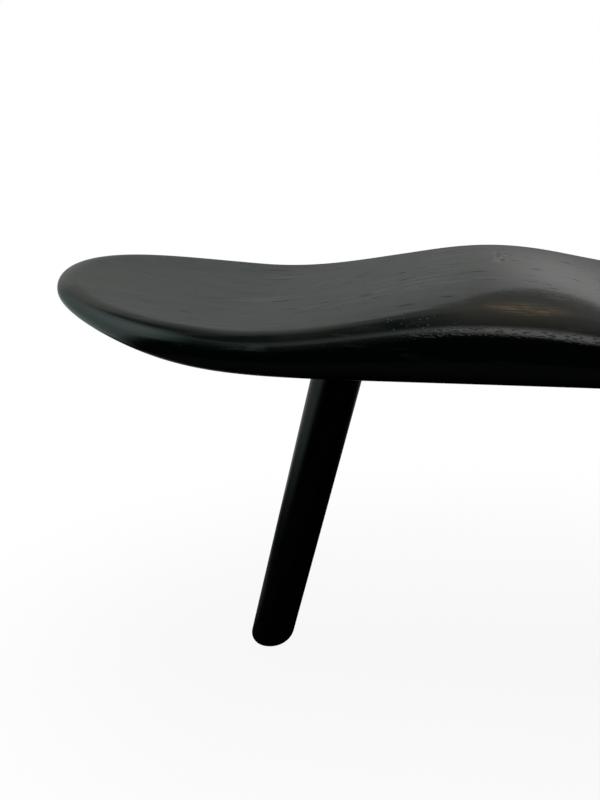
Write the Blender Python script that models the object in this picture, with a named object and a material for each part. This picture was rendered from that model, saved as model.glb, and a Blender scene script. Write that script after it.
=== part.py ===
"""A carved wooden bench on three splayed legs: two seat hollows, a crowned hump between them, upturned ends.

Metres, +Z up, +X along the bench, -Y to the front. The origin is on the floor under the middle of the seat.
"""

import math

import bmesh
import bpy
from mathutils import Matrix, Vector

# Seat from above
SEAT_LENGTH = 0.960
SEAT_DEPTH = 0.430
END_FULLNESS = 5.5  # power of the outline along the bench, higher is blunter

# Seat from the side
RIM_HEIGHT = 0.420  # rim of the hollows above the floor
DISH_DEPTH = 0.001  # middle of the hollows below their rim
HUMP_LENGTH = 0.570
HUMP_RIM_RISE = 0.028
HUMP_MIDDLE_RISE = 0.056
END_RIM_RISE = 0.041
END_MIDDLE_RISE = 0.034
END_RISE_POWER = 3.2  # how late the ends turn up
SEAT_THICKNESS = 0.039  # from the rim of the hollows down to the flat underside
ROCKER_RISE = 0.051  # sweep of the underside up to the noses
ROCKER_POWER = 6.0

# Edge of the seat
RIM_ROUND_WIDTH = 0.025
RIM_ROUND_HEIGHT = 0.0175
SIDE_UNDERCUT = 0.022
NOSE_UNDERCUT = 0.066
SIDE_POWER = 2.5  # 2 is an elliptic side, higher is squarer

# Glue-up of the seat
BOARD_NAMES = ("front", "front_inner", "middle", "back_inner", "back")
GLUE_LINE_NAMES = ("front_outer", "front_inner", "back_inner", "back_outer")
DOWEL_DIAMETER = 0.010
DOWEL_LENGTH = 0.060
DOWEL_CHAMFER = 0.0015
DOWEL_FROM_MIDDLE = 0.075
DOWEL_FROM_END = 0.160

# Legs
LEG_TOP_X = 0.161  # where a leg's axis meets the underside
LEG_FOOT_X = 0.251
PAIR_FOOT_Y = 0.165
LEG_TOP_DIAMETER = 0.058
LEG_FOOT_DIAMETER = 0.048
FOOT_ROUND = 0.018
TENON_DIAMETER = 0.036
TENON_CHAMFER = 0.002
HOUSING_LIP = 0.002  # least depth of the slanted housing round a leg's shoulder
MORTISE_COVER = 0.010  # wood left above a blind mortise
KERF_STOP = 0.008  # solid tenon under its saw kerf
WEDGE_WIDTH = 0.033
WEDGE_HEAD = 0.005
WEDGE_TIP = 0.0015

# Fits
JOINT_GAP = 0.0003
MORTISE_END_SPACE = 0.0015

# Facets
STRAIGHT_STEPS = 24
END_STEPS = 20
TOP_STEPS = 7
RIM_STEPS = 5
SIDE_STEPS = 6
UNDER_STEPS = 6
LEG_SIDES = 32
FOOT_STEPS = 6
DOWEL_SIDES = 12

UNDERSIDE_HEIGHT = RIM_HEIGHT - SEAT_THICKNESS
HALF_LENGTH = SEAT_LENGTH / 2
HALF_DEPTH = SEAT_DEPTH / 2
SPINE = HALF_LENGTH - HALF_DEPTH  # half the line that the seat's rings close in on
BOARD_WIDTH = SEAT_DEPTH / len(BOARD_NAMES)
WELD = 1e-6


def clear_scene():
    for old in list(bpy.data.objects):
        bpy.data.objects.remove(old)


def wood(name, colour, roughness):
    material = bpy.data.materials.new(name)
    material.use_nodes = True
    shader = material.node_tree.nodes["Principled BSDF"]
    shader.inputs["Base Color"].default_value = (*colour, 1.0)
    shader.inputs["Roughness"].default_value = roughness
    shader.inputs["Metallic"].default_value = 0.0
    return material


def add_object(name, mesh, material, parent, matrix):
    obj = bpy.data.objects.new(name, mesh)
    bpy.context.collection.objects.link(obj)
    obj.parent = parent
    obj.matrix_local = matrix
    if material:
        mesh.materials.append(material)
    mesh.shade_smooth()
    mesh.set_sharp_from_angle(angle=math.radians(35))
    return obj


def add_cutter(name, mesh, parent, matrix):
    cutter = add_object(name, mesh, None, parent, matrix)
    cutter.hide_render = True
    cutter.display_type = "WIRE"
    return cutter


def cut(obj, cutter):
    modifier = obj.modifiers.new(cutter.name, "BOOLEAN")
    modifier.operation = "DIFFERENCE"
    modifier.solver = "EXACT"
    modifier.object = cutter


def finished_mesh(name, bm):
    bmesh.ops.remove_doubles(bm, verts=bm.verts, dist=WELD)
    bmesh.ops.recalc_face_normals(bm, faces=bm.faces)
    mesh = bpy.data.meshes.new(name)
    bm.to_mesh(mesh)
    bm.free()
    return mesh


def skin_rings(bm, rings, cap_first, cap_last):
    """Quads between rings of equal count, each a list of points, with flat caps where asked."""
    loops = [[bm.verts.new(point) for point in ring] for ring in rings]
    count = len(loops[0])
    for lower, upper in zip(loops, loops[1:]):
        for i in range(count):
            j = (i + 1) % count
            bm.faces.new((lower[i], lower[j], upper[j], upper[i]))
    if cap_first:
        bm.faces.new(loops[0][::-1])
    if cap_last:
        bm.faces.new(loops[-1])


def circle(radius, height, sides):
    turns = [2 * math.pi * i / sides for i in range(sides)]
    return [Vector((radius * math.cos(turn), radius * math.sin(turn), height)) for turn in turns]


# Form of the seat


def half_depth_at(x):
    return HALF_DEPTH * math.sqrt(max(0.0, 1 - abs(x / HALF_LENGTH) ** END_FULLNESS))


def end_reach(turn):
    """From an end of the spine to the outline, at an angle to the bench's length."""
    near, far = 0.0, HALF_LENGTH
    for _ in range(50):
        middle = (near + far) / 2
        along = (SPINE + middle * abs(math.cos(turn))) / HALF_LENGTH
        across = middle * math.sin(turn) / HALF_DEPTH
        if along**END_FULLNESS + across**2 < 1:
            near = middle
        else:
            far = middle
    return near


def hump(x):
    return math.cos(math.pi * x / HUMP_LENGTH) ** 2 if abs(x) < HUMP_LENGTH / 2 else 0.0


def end_rise(x):
    return abs(x / HALF_LENGTH) ** END_RISE_POWER


def top_height(x, share):
    """Height of the seat at x, for a share of the way from the spine out to the outline."""
    rim = HUMP_RIM_RISE * hump(x) + END_RIM_RISE * end_rise(x)
    middle = HUMP_MIDDLE_RISE * hump(x) + END_MIDDLE_RISE * end_rise(x) - DISH_DEPTH * (1 - hump(x))
    return RIM_HEIGHT + rim + (middle - rim) * (1 - share**2)


def top_height_at(x, y):
    along = max(0.0, abs(x) - SPINE)
    reach = end_reach(math.atan2(abs(y), along)) if along else half_depth_at(x)
    return top_height(x, math.hypot(along, y) / reach)


def underside_height(x):
    return UNDERSIDE_HEIGHT + ROCKER_RISE * abs(x / (HALF_LENGTH - NOSE_UNDERCUT)) ** ROCKER_POWER


class Column:
    """One line of the seat's surface, from the spine over the rim and back to the spine below."""

    def __init__(self, spine_x, turn, reach):
        self.spine_x = spine_x
        self.direction = (math.cos(turn), math.sin(turn))
        self.reach = reach
        nose = self.direction[0] ** 2
        self.undercut = SIDE_UNDERCUT + (NOSE_UNDERCUT - SIDE_UNDERCUT) * nose

    def place(self, distance):
        return self.spine_x + self.direction[0] * distance, self.direction[1] * distance

    def points(self):
        found = []
        flat = self.reach - RIM_ROUND_WIDTH
        for i in range(TOP_STEPS):
            x, y = self.place(flat * i / TOP_STEPS)
            found.append((x, y, top_height(x, flat * i / TOP_STEPS / self.reach)))
        for i in range(RIM_STEPS + 1):
            turn = math.pi / 2 * i / RIM_STEPS
            distance = self.reach - RIM_ROUND_WIDTH * (1 - math.sin(turn))
            x, y = self.place(distance)
            drop = RIM_ROUND_HEIGHT * (1 - math.cos(turn))
            found.append((x, y, top_height(x, distance / self.reach) - drop))
        foot_x = self.place(self.reach - self.undercut)[0]
        side_top = found[-1][2]
        side_height = side_top - underside_height(foot_x)
        for i in range(1, SIDE_STEPS + 1):
            turn = math.pi / 2 * i / SIDE_STEPS
            inward = self.undercut * (1 - max(0.0, math.cos(turn)) ** (2 / SIDE_POWER))
            x, y = self.place(self.reach - inward)
            found.append((x, y, side_top - side_height * math.sin(turn) ** (2 / SIDE_POWER)))
        for i in range(1, UNDER_STEPS + 1):
            x, y = self.place((self.reach - self.undercut) * (1 - i / UNDER_STEPS))
            found.append((x, y, underside_height(x)))
        return found


def seat_columns():
    """Columns once round the seat, from the right nose by the back to the left and along the front."""
    columns = []
    for end in (1, -1):
        side_start = math.pi / 2 * (1 - end)
        quarter = END_STEPS // 2
        for i in range(-quarter, quarter):
            turn = side_start + math.pi / 2 * i / quarter
            columns.append(Column(end * SPINE, turn, end_reach(turn - side_start)))
        for i in range(STRAIGHT_STEPS):
            x = end * SPINE * (1 - 2 * i / STRAIGHT_STEPS)
            columns.append(Column(x, side_start + math.pi / 2, half_depth_at(x)))
    return columns


def whole_seat():
    lines = [column.points() for column in seat_columns()]
    bm = bmesh.new()
    skin_rings(bm, list(zip(*lines)), cap_first=False, cap_last=False)
    bmesh.ops.remove_doubles(bm, verts=bm.verts, dist=WELD)
    return bm


def saw(bm, y, keep_above):
    """Cuts the seat on a lengthwise plane and closes the sawn face."""
    normal = Vector((0, -1 if keep_above else 1, 0))
    everything = bm.verts[:] + bm.edges[:] + bm.faces[:]
    sawn = bmesh.ops.bisect_plane(
        bm, geom=everything, dist=WELD, plane_co=(0, y, 0), plane_no=normal, clear_outer=True
    )
    edges = [part for part in sawn["geom_cut"] if isinstance(part, bmesh.types.BMEdge)]
    bmesh.ops.contextual_create(bm, geom=edges)


def glue_line_y(index):
    """Where the line between board number index and the next lies, counted from the front."""
    return -HALF_DEPTH + BOARD_WIDTH * (index + 1)


def add_boards(material, parent):
    boards = []
    last = len(BOARD_NAMES) - 1
    for index, name in enumerate(BOARD_NAMES):
        bm = whole_seat()
        if index > 0:
            saw(bm, glue_line_y(index - 1) + JOINT_GAP / 2, keep_above=True)
        if index < last:
            saw(bm, glue_line_y(index) - JOINT_GAP / 2, keep_above=False)
        place = Matrix.Translation((0, glue_line_y(index) - BOARD_WIDTH / 2, UNDERSIDE_HEIGHT))
        bmesh.ops.transform(bm, matrix=place.inverted(), verts=bm.verts)
        mesh = finished_mesh(f"seat_board_{name}", bm)
        boards.append(add_object(f"seat_board_{name}", mesh, material, parent, place))
    return boards


# Dowels


def dowel_places():
    """Name and middle of every dowel: half way down the seat's thickness, on a glue line."""
    end_x = HALF_LENGTH - DOWEL_FROM_END
    stations = {
        "left_end": -end_x,
        "left_middle": -DOWEL_FROM_MIDDLE,
        "right_middle": DOWEL_FROM_MIDDLE,
        "right_end": end_x,
    }
    for index, line in enumerate(GLUE_LINE_NAMES):
        y = glue_line_y(index)
        for station, x in stations.items():
            z = (top_height_at(x, y) + underside_height(x)) / 2
            yield f"dowel_{line}_{station}", Vector((x, y, z))


def dowel_rings(radius, length, chamfer):
    half = length / 2
    return [
        circle(radius - chamfer, -half, DOWEL_SIDES),
        circle(radius, -half + chamfer, DOWEL_SIDES),
        circle(radius, half - chamfer, DOWEL_SIDES),
        circle(radius - chamfer, half, DOWEL_SIDES),
    ]


def add_dowels(material, parent, boards):
    across = Matrix.Rotation(math.pi / 2, 4, "X")
    holes = bmesh.new()
    for name, middle in dowel_places():
        place = Matrix.Translation(middle) @ across
        bm = bmesh.new()
        skin_rings(bm, dowel_rings(DOWEL_DIAMETER / 2, DOWEL_LENGTH, DOWEL_CHAMFER), True, True)
        add_object(name, finished_mesh(name, bm), material, parent, place)
        bore = DOWEL_DIAMETER / 2 + JOINT_GAP
        rings = dowel_rings(bore, DOWEL_LENGTH + 2 * JOINT_GAP, DOWEL_CHAMFER)
        skin_rings(holes, [[place @ point for point in ring] for ring in rings], True, True)
    cutter = add_cutter("dowel_holes", finished_mesh("dowel_holes", holes), parent, Matrix())
    for board in boards:
        cut(board, cutter)


# Legs


class Leg:
    """Axis of one leg, from the middle of its foot up to its tenon, and the sizes along it."""

    def __init__(self, name, side, foot_y, top_y):
        self.name = name
        foot = Vector((side * LEG_FOOT_X, foot_y, 0))
        top = Vector((side * LEG_TOP_X, top_y, UNDERSIDE_HEIGHT))
        axis = (top - foot).normalized()
        tilt = axis.angle(Vector((0, 0, 1)))
        along = (Vector((1, 0, 0)) - axis * axis.x).normalized()
        turned = Matrix((along, axis.cross(along), axis)).transposed()
        self.matrix = Matrix.Translation(foot) @ turned.to_4x4()
        self.upright = turned.inverted() @ Vector((0, 0, 1))
        housing = LEG_TOP_DIAMETER / 2 * math.tan(tilt) + HOUSING_LIP
        thickness = top_height_at(top.x, top.y) - UNDERSIDE_HEIGHT
        mortise_radius = TENON_DIAMETER / 2 + JOINT_GAP
        under_cover = (thickness - MORTISE_COVER) * math.cos(tilt) - mortise_radius * math.sin(tilt)
        underside = (top - foot).length
        self.shoulder = underside + housing
        self.mortise_end = underside + under_cover
        self.tenon_end = self.mortise_end - MORTISE_END_SPACE
        self.housing_mouth = underside - housing

    def radius_at(self, height):
        share = height / self.shoulder
        return (LEG_FOOT_DIAMETER + (LEG_TOP_DIAMETER - LEG_FOOT_DIAMETER) * share) / 2

    def level_ring(self, height, width_share):
        """Level section of the leg at a height above the floor, narrowed towards its axis."""
        middle = Vector((0, 0, height / self.upright.z))
        ring = []
        for point in circle(self.radius_at(middle.z), 0, LEG_SIDES):
            point.z = -point.dot(self.upright) / self.upright.z
            ring.append(middle + point * width_share)
        return ring

    def rings(self):
        rings = []
        foot_radius = LEG_FOOT_DIAMETER / 2
        for i in range(FOOT_STEPS + 1):
            turn = math.pi / 2 * i / FOOT_STEPS
            inward = FOOT_ROUND * (1 - math.sin(turn))
            height = FOOT_ROUND * (1 - math.cos(turn))
            rings.append(self.level_ring(height, 1 - inward / foot_radius))
        tenon = TENON_DIAMETER / 2
        rings.append(circle(self.radius_at(self.shoulder), self.shoulder, LEG_SIDES))
        rings.append(circle(tenon, self.shoulder, LEG_SIDES))
        rings.append(circle(tenon, self.tenon_end - TENON_CHAMFER, LEG_SIDES))
        rings.append(circle(tenon - TENON_CHAMFER, self.tenon_end, LEG_SIDES))
        return rings

    def socket_rings(self):
        housing = LEG_TOP_DIAMETER / 2 + JOINT_GAP
        mortise = TENON_DIAMETER / 2 + JOINT_GAP
        floor = self.shoulder + JOINT_GAP
        steps = ((housing, self.housing_mouth), (housing, floor), (mortise, floor), (mortise, self.mortise_end))
        return [circle(radius, height, LEG_SIDES) for radius, height in steps]

    def wedge_rings(self, gap, head_height, width):
        """Tip and head of the wedge, or with a gap of the kerf round it."""
        tip_height = self.shoulder + KERF_STOP - gap
        run = self.mortise_end - JOINT_GAP - self.shoulder - KERF_STOP
        flare = (WEDGE_HEAD - WEDGE_TIP) / run
        rings = []
        for height in (tip_height, head_height):
            half = (WEDGE_TIP + flare * (height - self.shoulder - KERF_STOP)) / 2 + gap
            corners = ((-half, -width / 2), (half, -width / 2), (half, width / 2), (-half, width / 2))
            rings.append([Vector((x, y, height)) for x, y in corners])
        return rings


def all_legs():
    return (
        Leg("left", -1, 0.0, 0.0),
        Leg("front_right", 1, -PAIR_FOOT_Y, -BOARD_WIDTH),
        Leg("back_right", 1, PAIR_FOOT_Y, BOARD_WIDTH),
    )


def skinned(name, rings):
    bm = bmesh.new()
    skin_rings(bm, rings, True, True)
    return finished_mesh(name, bm)


def add_leg(leg, leg_wood, wedge_wood, parent, boards):
    shaft = add_object(f"leg_{leg.name}", skinned(f"leg_{leg.name}", leg.rings()), leg_wood, parent, leg.matrix)

    wedge_name = f"wedge_{leg.name}"
    wedge = leg.wedge_rings(0.0, leg.mortise_end - JOINT_GAP, WEDGE_WIDTH)
    add_object(wedge_name, skinned(wedge_name, wedge), wedge_wood, parent, leg.matrix)

    kerf_name = f"kerf_{leg.name}"
    kerf = leg.wedge_rings(JOINT_GAP, leg.mortise_end, LEG_TOP_DIAMETER)
    cut(shaft, add_cutter(kerf_name, skinned(kerf_name, kerf), parent, leg.matrix))

    socket_name = f"socket_{leg.name}"
    socket = add_cutter(socket_name, skinned(socket_name, leg.socket_rings()), parent, leg.matrix)
    for board in boards:
        cut(board, socket)


def main():
    clear_scene()
    bench = bpy.data.objects.new("bench", None)
    bpy.context.collection.objects.link(bench)
    seat_wood = wood("black_stained_seat_wood", (0.020, 0.021, 0.020), 0.42)
    leg_wood = wood("black_stained_leg_wood", (0.008, 0.010, 0.010), 0.38)
    dowel_wood = wood("pale_dowel_wood", (0.55, 0.40, 0.25), 0.60)
    wedge_wood = wood("pale_wedge_wood", (0.42, 0.28, 0.15), 0.60)
    boards = add_boards(seat_wood, bench)
    add_dowels(dowel_wood, bench, boards)
    for leg in all_legs():
        add_leg(leg, leg_wood, wedge_wood, bench, boards)


main()
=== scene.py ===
"""Looks of the carved three-legged bench: carved boards, turned legs, black-stained wood and the studio.

Metres, +Z up, +X along the bench, -Y to the front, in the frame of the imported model.
"""

import math
from dataclasses import dataclass

import bmesh
import bpy
from mathutils import Matrix, Vector


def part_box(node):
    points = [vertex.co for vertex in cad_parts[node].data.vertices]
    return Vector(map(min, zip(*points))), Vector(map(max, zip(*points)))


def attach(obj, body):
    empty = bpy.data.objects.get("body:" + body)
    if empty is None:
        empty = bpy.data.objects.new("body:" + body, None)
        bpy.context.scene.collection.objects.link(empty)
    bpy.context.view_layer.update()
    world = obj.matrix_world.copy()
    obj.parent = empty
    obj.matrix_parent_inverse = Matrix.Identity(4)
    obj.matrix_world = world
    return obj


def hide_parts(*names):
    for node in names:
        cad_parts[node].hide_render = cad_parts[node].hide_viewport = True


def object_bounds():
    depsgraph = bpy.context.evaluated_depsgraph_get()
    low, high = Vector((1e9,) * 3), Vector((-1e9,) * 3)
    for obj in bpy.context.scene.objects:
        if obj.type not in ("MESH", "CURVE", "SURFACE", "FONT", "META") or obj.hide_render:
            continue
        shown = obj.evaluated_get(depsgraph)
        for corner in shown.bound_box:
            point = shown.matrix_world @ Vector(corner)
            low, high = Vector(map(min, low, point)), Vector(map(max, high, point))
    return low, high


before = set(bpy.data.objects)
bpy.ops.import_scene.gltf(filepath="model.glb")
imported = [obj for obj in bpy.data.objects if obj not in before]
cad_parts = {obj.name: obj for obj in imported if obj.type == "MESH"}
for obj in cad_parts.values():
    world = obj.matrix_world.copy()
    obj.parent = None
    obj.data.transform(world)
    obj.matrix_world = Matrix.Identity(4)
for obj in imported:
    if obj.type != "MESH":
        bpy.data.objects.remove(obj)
CAD_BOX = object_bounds()

# Driving sizes of the seat, as in the solids
SEAT_LENGTH = CAD_BOX[1][0] - CAD_BOX[0][0]
SEAT_DEPTH = CAD_BOX[1][1] - CAD_BOX[0][1]
END_FULLNESS = 5.5
RIM_HEIGHT = 0.420
DISH_DEPTH = 0.001
HUMP_LENGTH = 0.570
HUMP_RIM_RISE = 0.028
HUMP_MIDDLE_RISE = 0.056
END_RIM_RISE = 0.041
END_MIDDLE_RISE = 0.034
END_RISE_POWER = 3.2
SEAT_THICKNESS = 0.039
ROCKER_RISE = 0.051
ROCKER_POWER = 6.0
RIM_ROUND_WIDTH = 0.025
RIM_ROUND_HEIGHT = 0.0175
SIDE_UNDERCUT = 0.022
NOSE_UNDERCUT = 0.066
SIDE_POWER = 2.5

# Driving sizes of the legs
LEG_TOP_X = 0.161
LEG_FOOT_X = 0.251
PAIR_FOOT_Y = 0.165
LEG_TOP_DIAMETER = 0.058
LEG_FOOT_DIAMETER = 0.048
FOOT_ROUND = 0.018
TENON_DIAMETER = 0.036
TENON_CHAMFER = 0.002
HOUSING_LIP = 0.002
MORTISE_COVER = 0.010
MORTISE_END_SPACE = 0.0015
KERF_STOP = 0.008
WEDGE_HEAD = 0.005
WEDGE_TIP = 0.0015

# Fits: a glue line closes to a hair, the bored joints keep the gap of the solids
GLUE_GAP = 0.00004
JOINT_GAP = 0.0003

# Fineness of the meshes
STRAIGHT_STEPS = 110
END_STEPS = 88
TOP_STEPS = 22
RIM_STEPS = 14
SIDE_STEPS = 16
UNDER_STEPS = 12
LEG_SIDES = 96
LEG_STEPS = 24
FOOT_STEPS = 14
BORE_SIDES = 32
HALVINGS = 50  # in the search for the outline

BOARD_NAMES = ("front", "front_inner", "middle", "back_inner", "back")
UNDERSIDE_HEIGHT = RIM_HEIGHT - SEAT_THICKNESS
HALF_LENGTH = SEAT_LENGTH / 2
HALF_DEPTH = SEAT_DEPTH / 2
SPINE = HALF_LENGTH - HALF_DEPTH
BOARD_WIDTH = SEAT_DEPTH / len(BOARD_NAMES)
WELD = 1e-6
SHARP_ANGLE = math.radians(35)

# Camera at the photograph's viewing angle
CAMERA_PLACE = (-0.0267, -1.442, 0.7107)
CAMERA_YAW = math.radians(7.41)  # to the left
CAMERA_PITCH = math.radians(15.62)  # down
FOCAL_PIXELS = 1328.0
PICTURE_HEIGHT = 800
SENSOR_MM = 36.0

# Grain of the wood: widths across it and lengths down it
CLOUD_WIDTH, CLOUD_LENGTH = 0.045, 0.12
STREAK_WIDTH, STREAK_LENGTH = 0.012, 0.13
FIBRE_WIDTH, FIBRE_LENGTH = 0.0018, 0.050
DASH_WIDTH, DASH_LENGTH = 0.007, 0.055
PORE_WIDTH, PORE_LENGTH = 0.0017, 0.0060
PORE_ZONE_WIDTH, PORE_ZONE_LENGTH = 0.012, 0.10
CHECK_WIDTH, CHECK_LENGTH = 0.0024, 0.020
WORN_LINE_WIDTH, WORN_LINE_LENGTH = 0.0070, 0.085
WORN_FIELD_WIDTH, WORN_FIELD_LENGTH = 0.050, 0.20
BOARD_SHIFT = (0.83, 0.31, 0.17)  # from one board's grain to the next

# From which level of its noise each mark starts to show, and from which it is whole
CLOUD_SPAN = (0.40, 0.66)
STREAK_SPAN = (0.48, 0.76)
DASH_SPAN = (0.60, 0.76)
PORE_SPAN = (0.52, 0.64)
PORE_ZONE_SPAN = (0.30, 0.45)
CHECK_SPAN = (0.75, 0.81)
WORN_LINE_SPAN = (0.54, 0.66)
WORN_FIELD_SPAN = (0.38, 0.54)
BARE_SPAN = (0.50, 0.62)
NIB_SPAN = (0.69, 0.76)
LIGHT_SPECK_SPAN = (0.52, 0.62)
DULL_SPECK_SPAN = (0.48, 0.38)
GLOSS_SPAN = (0.30, 0.70)
LEG_STREAK_SPAN = (0.35, 0.65)
LEG_GLOSS_SPAN = (0.25, 0.75)

# The same for the upward part of the surface's direction
RIM_FACING = (0.08, 0.22)
UPWARD_FACING = (0.60, 0.95)
LEVEL_FACING = (0.93, 0.985)

# Wear and marks, by their places on the seat and their reach along it, across it and up
MARK_CORE = 0.45  # share of the reach within which a mark is whole
WORN_MIDDLE = (0.029, -0.184, 0.453)
RUBBED_REACH = (0.120, 0.045, 0.050)
POLISH_REACH = (0.280, 0.150, 0.100)
BROWN_REACH = (0.056, 0.021, 0.030)
BARE_REACH = (0.048, 0.017, 0.030)
BARE_WIDTH, BARE_LENGTH = 0.0015, 0.035
MOTTLE_WIDTH, MOTTLE_LENGTH = 0.0030, 0.0060
NIB_SIZE = 0.0024
NIB_MIDDLE = (-0.090, -0.203, 0.440)
NIB_REACH = (0.068, 0.011, 0.016)
CREST_MARK_MIDDLE = (0.005, -0.014, 0.4757)
CREST_MARK_REACH = (0.016, 0.045, 0.020)
CREST_SPECK_WIDTH, CREST_SPECK_LENGTH = 0.016, 0.0045
HANDLED_REACH = (0.135, 0.080)  # along the rim from the wear's middle
HANDLED_RIM = (0.955, 0.975)  # towards the rim
PORE_SHOW = 0.10  # of the pores away from the hump's rim
SAT_ON_REACH = (0.40, 0.22)  # from the middle
END_WEAR = 0.35

# Colours of the wood, and the roughness of its finish
STAIN_DEEP = (0.0018, 0.0044, 0.0037, 1.0)
STAIN_WARM = (0.0150, 0.0152, 0.0126, 1.0)
STAIN_THIN = (0.0120, 0.0142, 0.0132, 1.0)
STAIN_RUBBED = (0.0082, 0.0076, 0.0040, 1.0)
STAIN_BROWN = (0.0240, 0.0180, 0.0085, 1.0)
STAIN_WORN = (0.0380, 0.0395, 0.0375, 1.0)
BARE_WOOD = (0.0880, 0.0620, 0.0300, 1.0)
# Light specks on the crest, partly a painted highlight
CREST_SPECK_AND_HIGHLIGHT = (0.0700, 0.0660, 0.0500, 1.0)
# Pale dust grains, their colour partly a painted glint
DUST_AND_GLINT_GRAIN = (0.0900, 0.1000, 0.1000, 1.0)
PORE_COLOUR = (0.0008, 0.0010, 0.0009, 1.0)
LEG_DEEP = (0.0012, 0.0020, 0.0017, 1.0)
LEG_THIN = (0.0026, 0.0036, 0.0031, 1.0)
SEAT_GLOSS = (0.11, 0.17)  # from the darkest clouds to the lightest
LEG_GLOSS = (0.21, 0.29)
SEAT_IOR = 1.5
LEG_IOR = 1.3
DASH_DULLER = 0.36
PORE_DULLER = 0.40
BARE_DULLER = 0.15
CHECK_DULLER = 0.30
SPECK_DULLER = 0.09
POLISH_SHINE = 0.065

# Relief of the surface in millimetres, below zero for what is sunk
STREAK_RELIEF = 0.015
FIBRE_RELIEF = 0.0004
PORE_RELIEF = -0.10
CHECK_RELIEF = -0.05
MOTTLE_RELIEF = 0.14
NIB_RELIEF = 0.60
LEG_STREAK_RELIEF = 0.010
LEG_FIBRE_RELIEF = 0.001
LEG_PORE_RELIEF = -0.02
MILLIMETRE = 0.001

# Pale wood of the hidden dowels and wedges
DOWEL_LIGHT = (0.60, 0.45, 0.29, 1.0)
DOWEL_DARK = (0.45, 0.31, 0.18, 1.0)
WEDGE_LIGHT = (0.48, 0.33, 0.19, 1.0)
WEDGE_DARK = (0.33, 0.21, 0.11, 1.0)
PALE_GRAIN_SCALE = (400.0, 30.0, 400.0)  # cells in a metre, longest across the bench, as the dowels lie
PALE_ROUGHNESS = 0.6

# Floor of the studio
FLOOR_RADIUS = 0.85
FLOOR_RINGS = (0.25, 0.5, 0.75, 1.0)  # shares of the radius
FLOOR_STEPS = 96
FLOOR_PAPER = (0.85, 0.85, 0.85, 1.0)
# From the middle, where the camera's white takes over from the lit paper, and its share of the floor's tone
FLOOR_WHITE_REACH = (0.35, 0.80)
FLOOR_WHITE_SHARE = (0.92, 1.0)
# Painted shadow: the floor's tone under the bench and beside it, darkest in the middle, for all but the
# camera
FLOOR_PAINTED_SHADOW_REACH = (0.10, 0.55)
FLOOR_PAINTED_SHADOW_TONE = (0.01, 0.04)
# Painted light: the lighter part of the floor behind the left leg, for all but the camera
FLOOR_LEFT_REACH = (-0.22, -0.34)
FLOOR_BACK_REACH = (0.02, 0.10)
FLOOR_PAINTED_LIGHT_TONE = 0.24

# Light that falls from all around
DIM_LEVEL = 0.05

# The lit backdrop that reflections find behind the bench: its level by height over the seat's rim
BACKDROP_PLACE = 0.60  # behind the middle of the seat
BACKDROP_HALF_WIDTH = 1.5
BACKDROP_TOP = 1.6
BACKDROP_LEFT = (
    (-0.42, 0.22), (-0.28, 0.20), (-0.20, 0.11), (-0.05, 0.12), (0.0, 0.135), (0.08, 0.187),
    (0.15, 0.244), (0.22, 0.298), (0.30, 0.36), (0.40, 0.42), (0.55, 0.45), (1.20, 0.45),
)
BACKDROP_RIGHT = (
    (-0.42, 0.22), (-0.28, 0.20), (-0.20, 0.11), (-0.05, 0.13), (0.0, 0.15), (0.08, 0.25),
    (0.15, 0.40), (0.22, 0.55), (0.29, 0.65), (0.40, 0.67), (1.20, 0.67),
)
BACKDROP_FAR_LEFT = (
    (-0.42, 0.50), (-0.25, 0.45), (-0.12, 0.26), (0.0, 0.21), (0.10, 0.225), (0.20, 0.257), (1.20, 0.28),
)
BACKDROP_TURN = (-0.06, 0.19)  # across it, from the left's levels to the right's
BACKDROP_FAR_TURN = (-0.12, -0.52)  # and to the far left's
BACKDROP_END = (-0.42, -0.85)  # across it, where it grows brighter by the gain
BACKDROP_END_GAIN = 0.36
# Height of its leaning top over the seat's rim, by place across it
BACKDROP_EDGE = (
    (-1.50, 1.10), (-0.60, 0.92), (-0.42, 0.72), (-0.33, 0.56), (-0.25, 0.51), (-0.10, 0.545), (0.0, 0.50),
    (0.14, 0.41), (0.24, 0.36), (0.60, 0.20), (1.50, 0.20),
)
BACKDROP_SOFT = 0.010
BACKDROP_TINTS = (
    (-1.50, (0.97, 1.0, 0.93)), (-0.75, (0.97, 1.0, 0.93)),
    (-0.45, (0.93, 1.0, 0.965)), (-0.20, (0.93, 1.0, 0.965)),
    (0.05, (1.0, 1.0, 0.985)), (1.50, (1.0, 1.0, 0.985)),
)

# The lit sheet that reflections find past the left end: its level across the bench, times that by height
SIDE_PLACE = -0.62
SIDE_FRONT = -0.95
SIDE_BACK = 0.40
SIDE_TOP = 1.6
SIDE_ACROSS = (
    (-0.90, 0.0), (-0.75, 0.22), (-0.65, 0.42), (-0.55, 0.88), (-0.45, 1.22), (-0.35, 1.35), (-0.25, 1.30),
    (-0.15, 1.06), (-0.05, 0.72), (0.05, 0.42), (0.12, 0.30), (0.40, 0.30),
)
SIDE_UP = (
    (0.0, 0.0), (0.08, 0.10), (0.15, 0.40), (0.25, 0.58), (0.35, 0.64), (0.45, 0.70), (0.55, 0.86),
    (0.65, 1.0), (0.95, 1.0), (1.05, 0.88), (1.15, 0.72), (1.25, 0.55), (1.40, 0.38), (1.60, 0.20),
)
SIDE_CORNER = (-0.20, 0.15)  # a place on the slanting line that cuts off its low front corner
SIDE_CORNER_SLOPE = 0.86
SIDE_CORNER_EDGE = (-0.05, 0.12)
SIDE_BACK_EDGE = (0.12, 0.02)
SIDE_LOW_BACK_EDGE = (0.40, 0.30)  # of its low part, which reaches further back
SIDE_LOW_EDGE = (0.46, 0.36)
SIDE_GLOW = 0.36  # of the patch low down beside the leg
SIDE_GLOW_ACROSS = (-0.28, -0.08)
SIDE_GLOW_UP = (0.16, 0.24)

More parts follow.
